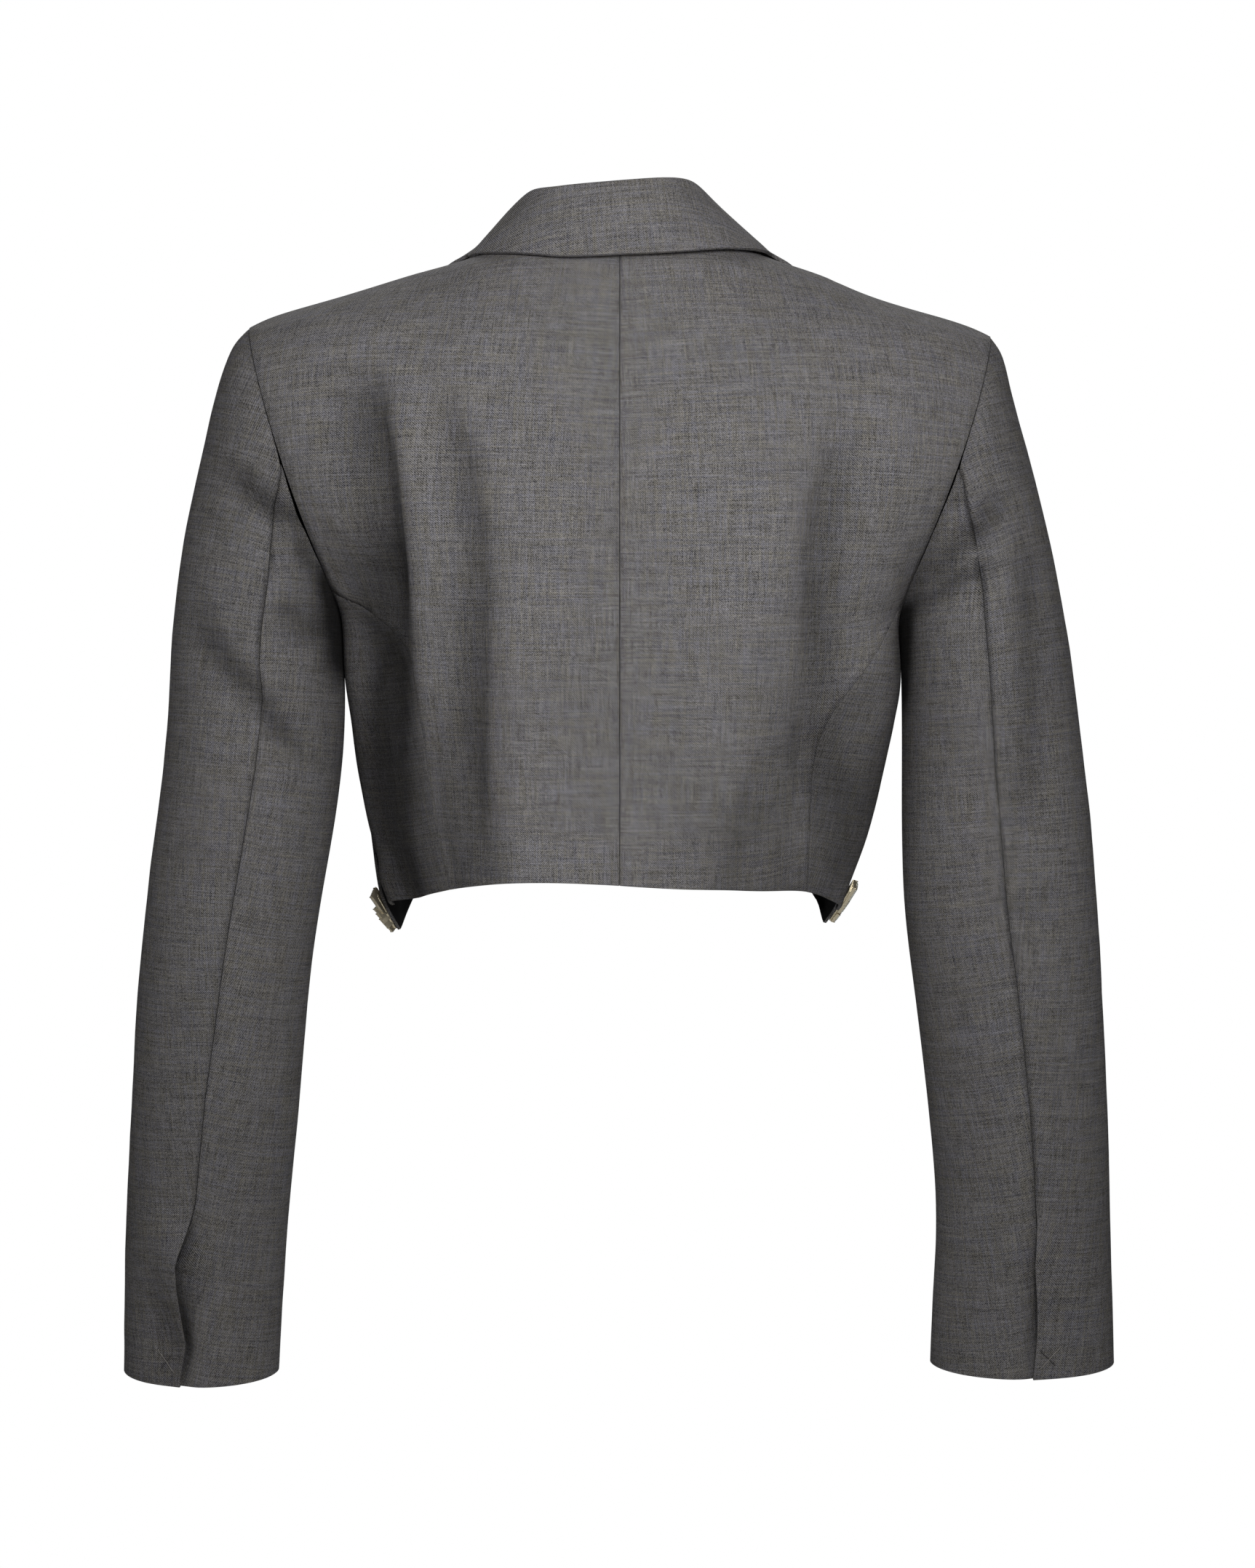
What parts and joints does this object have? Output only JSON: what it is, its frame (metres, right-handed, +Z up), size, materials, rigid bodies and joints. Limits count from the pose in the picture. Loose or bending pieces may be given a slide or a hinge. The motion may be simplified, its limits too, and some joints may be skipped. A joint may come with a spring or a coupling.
{
  "type": "cropped blazer",
  "caption": "Cropped grey wool blazer with notched lapels, cutaway front, long sleeves with vented cuffs and jewelled points at the hem, in its worn hollow form.",
  "frame": {"origin": "between the shoulder seams, level with the side of the neck, where the jacket is held", "axes": "+Z up along the standing length, +Y to the back that the picture shows, +X to the wearer's left side"},
  "size_m": [0.5696, 0.2432, 0.6816],
  "materials": {
    "wool": "matt fine twill of mixed grey yarns",
    "wool_under": "matt fine twill of mixed grey yarns, as worn on the sleeves and sides",
    "glass": "clear cut stones in close metal settings",
    "horn": "dark satin turned button"
  },
  "bodies": {
    "root": {"back_left": "wool", "back_right": "wool", "side_left": "wool_under", "side_right": "wool_under", "front_left": "wool", "front_right": "wool", "lapel_left": "wool", "lapel_right": "wool", "collar": "wool", "top_sleeve_left": "wool_under", "top_sleeve_right": "wool_under", "under_sleeve_left": "wool_under", "under_sleeve_right": "wool_under", "hem_jewels_left": "glass", "hem_jewels_right": "glass", "button": "horn"}
  },
  "joints": []
}
